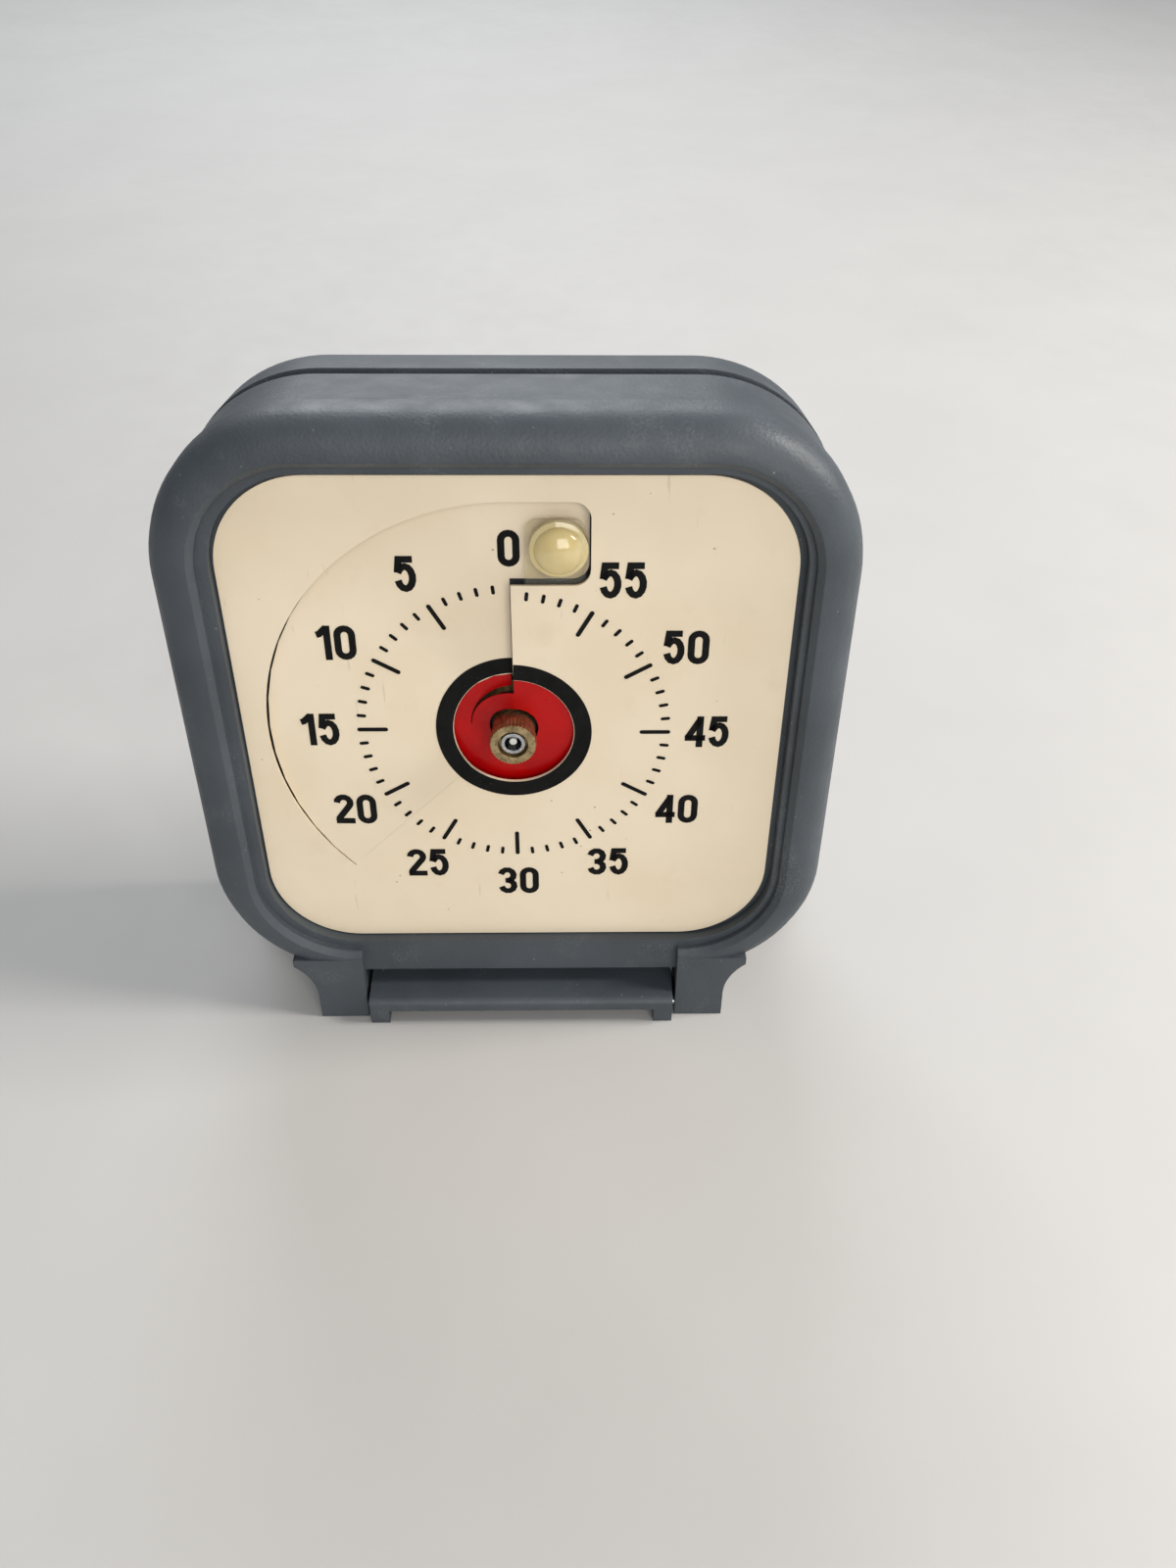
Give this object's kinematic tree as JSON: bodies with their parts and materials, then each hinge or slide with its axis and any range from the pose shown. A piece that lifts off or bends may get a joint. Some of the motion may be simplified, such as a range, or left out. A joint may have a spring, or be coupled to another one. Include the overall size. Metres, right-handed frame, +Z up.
{
  "type": "visual countdown timer",
  "caption": "Leaning square desk timer: a red disc turned by a clear knob passes over a slit dial, and the hinged lid is its stand.",
  "frame": {"origin": "middle of the whole timer's stance, on the table, lid open", "axes": "+Z up, -Y out of the dial towards the viewer, +X to the viewer's right"},
  "size_m": [0.092, 0.0984, 0.0946],
  "materials": {
    "case_plastic": "fine moulded grain, satin",
    "dial_plastic": "printed cream sheet, satin",
    "red_plastic": "satin",
    "clear_plastic": "clear sheet, slightly yellowed",
    "knob_plastic": "clear soft plastic, yellowed",
    "brass": "dull, tarnished",
    "pin_steel": "turned",
    "screw_steel": "zinc plated",
    "contact_steel": "nickel plated",
    "movement_plastic": "moulded",
    "gear_plastic": "moulded",
    "stator_iron": "stamped sheet",
    "coil_copper": "enamelled wire",
    "board_green": "lacquered",
    "crystal_can": "satin",
    "battery_wrap": "plain wrap",
    "magnet": "ground"
  },
  "bodies": {
    "case": {"front_shell": "case_plastic", "rear_cover": "case_plastic", "case_screws": "screw_steel", "hinge_pins": "pin_steel", "dial_plate": "dial_plastic", "mounting_nut": "brass", "movement_housing": "movement_plastic", "movement_cover": "movement_plastic", "stator": "stator_iron", "coil": "coil_copper", "circuit_board": "board_green", "crystal": "crystal_can", "battery": "battery_wrap", "battery_contacts": "contact_steel"},
    "battery_door": {"battery_door": "case_plastic"},
    "lid": {"lid": "case_plastic"},
    "hub": {"knurled_hub": "brass", "minute_tube": "pin_steel"},
    "disc": {"red_disc": "red_plastic", "clear_tab": "clear_plastic", "grip_knob": "knob_plastic"},
    "centre_wheel": {"centre_wheel": "gear_plastic"},
    "third_wheel": {"third_wheel": "gear_plastic"},
    "seconds_wheel": {"seconds_wheel": "gear_plastic"},
    "intermediate_wheel": {"intermediate_wheel": "gear_plastic"},
    "rotor": {"rotor": "magnet"}
  },
  "joints": [
    {"name": "seconds_turn", "type": "hinge", "parent": "case", "child": "seconds_wheel", "pos_m": [0, -0.03842, 0.0507], "axis": [0, -0.9925, 0.1219], "range_deg": [-360, 0]},
    {"name": "hub_turn", "type": "hinge", "parent": "case", "child": "hub", "pos_m": [0, -0.03842, 0.0507], "axis": [0, -0.9925, 0.1219], "range_deg": [0, 360]},
    {"name": "disc_rise", "type": "slide", "parent": "hub", "child": "disc", "axis": [0, -0.9925, 0.1219], "range_m": [0, 0.00205]},
    {"name": "centre_turn", "type": "hinge", "parent": "case", "child": "centre_wheel", "pos_m": [0, -0.03842, 0.0507], "axis": [0, -0.9925, 0.1219], "range_deg": [-6, 0]},
    {"name": "third_turn", "type": "hinge", "parent": "case", "child": "third_wheel", "pos_m": [-0.00789, -0.02715, 0.05221], "axis": [0, -0.9925, 0.1219], "range_deg": [0, 36]},
    {"name": "intermediate_turn", "type": "hinge", "parent": "case", "child": "intermediate_wheel", "pos_m": [0.00702, -0.02502, 0.05314], "axis": [0, -0.9925, 0.1219], "range_deg": [0, 1800]},
    {"name": "rotor_turn", "type": "hinge", "parent": "case", "child": "rotor", "pos_m": [0.01009, -0.0214, 0.05806], "axis": [0, -0.9925, 0.1219], "range_deg": [-10800, 0]},
    {"name": "lid_turn", "type": "hinge", "parent": "case", "child": "lid", "pos_m": [0, -0.04645, 0.00171], "axis": [-1, 0, 0], "range_deg": [0, 276]},
    {"name": "door_lift", "type": "slide", "parent": "case", "child": "battery_door", "axis": [0, 0.9925, -0.1219], "range_m": [0, 0.015]}
  ],
  "couplings": [
    {"joint": "disc_rise", "follows": "hub_turn", "m_per_rad": 0.00032627},
    {"joint": "centre_turn", "follows": "seconds_turn", "ratio": 0.016667},
    {"joint": "third_turn", "follows": "seconds_turn", "ratio": -0.1},
    {"joint": "intermediate_turn", "follows": "seconds_turn", "ratio": -5},
    {"joint": "rotor_turn", "follows": "seconds_turn", "ratio": 30}
  ]
}
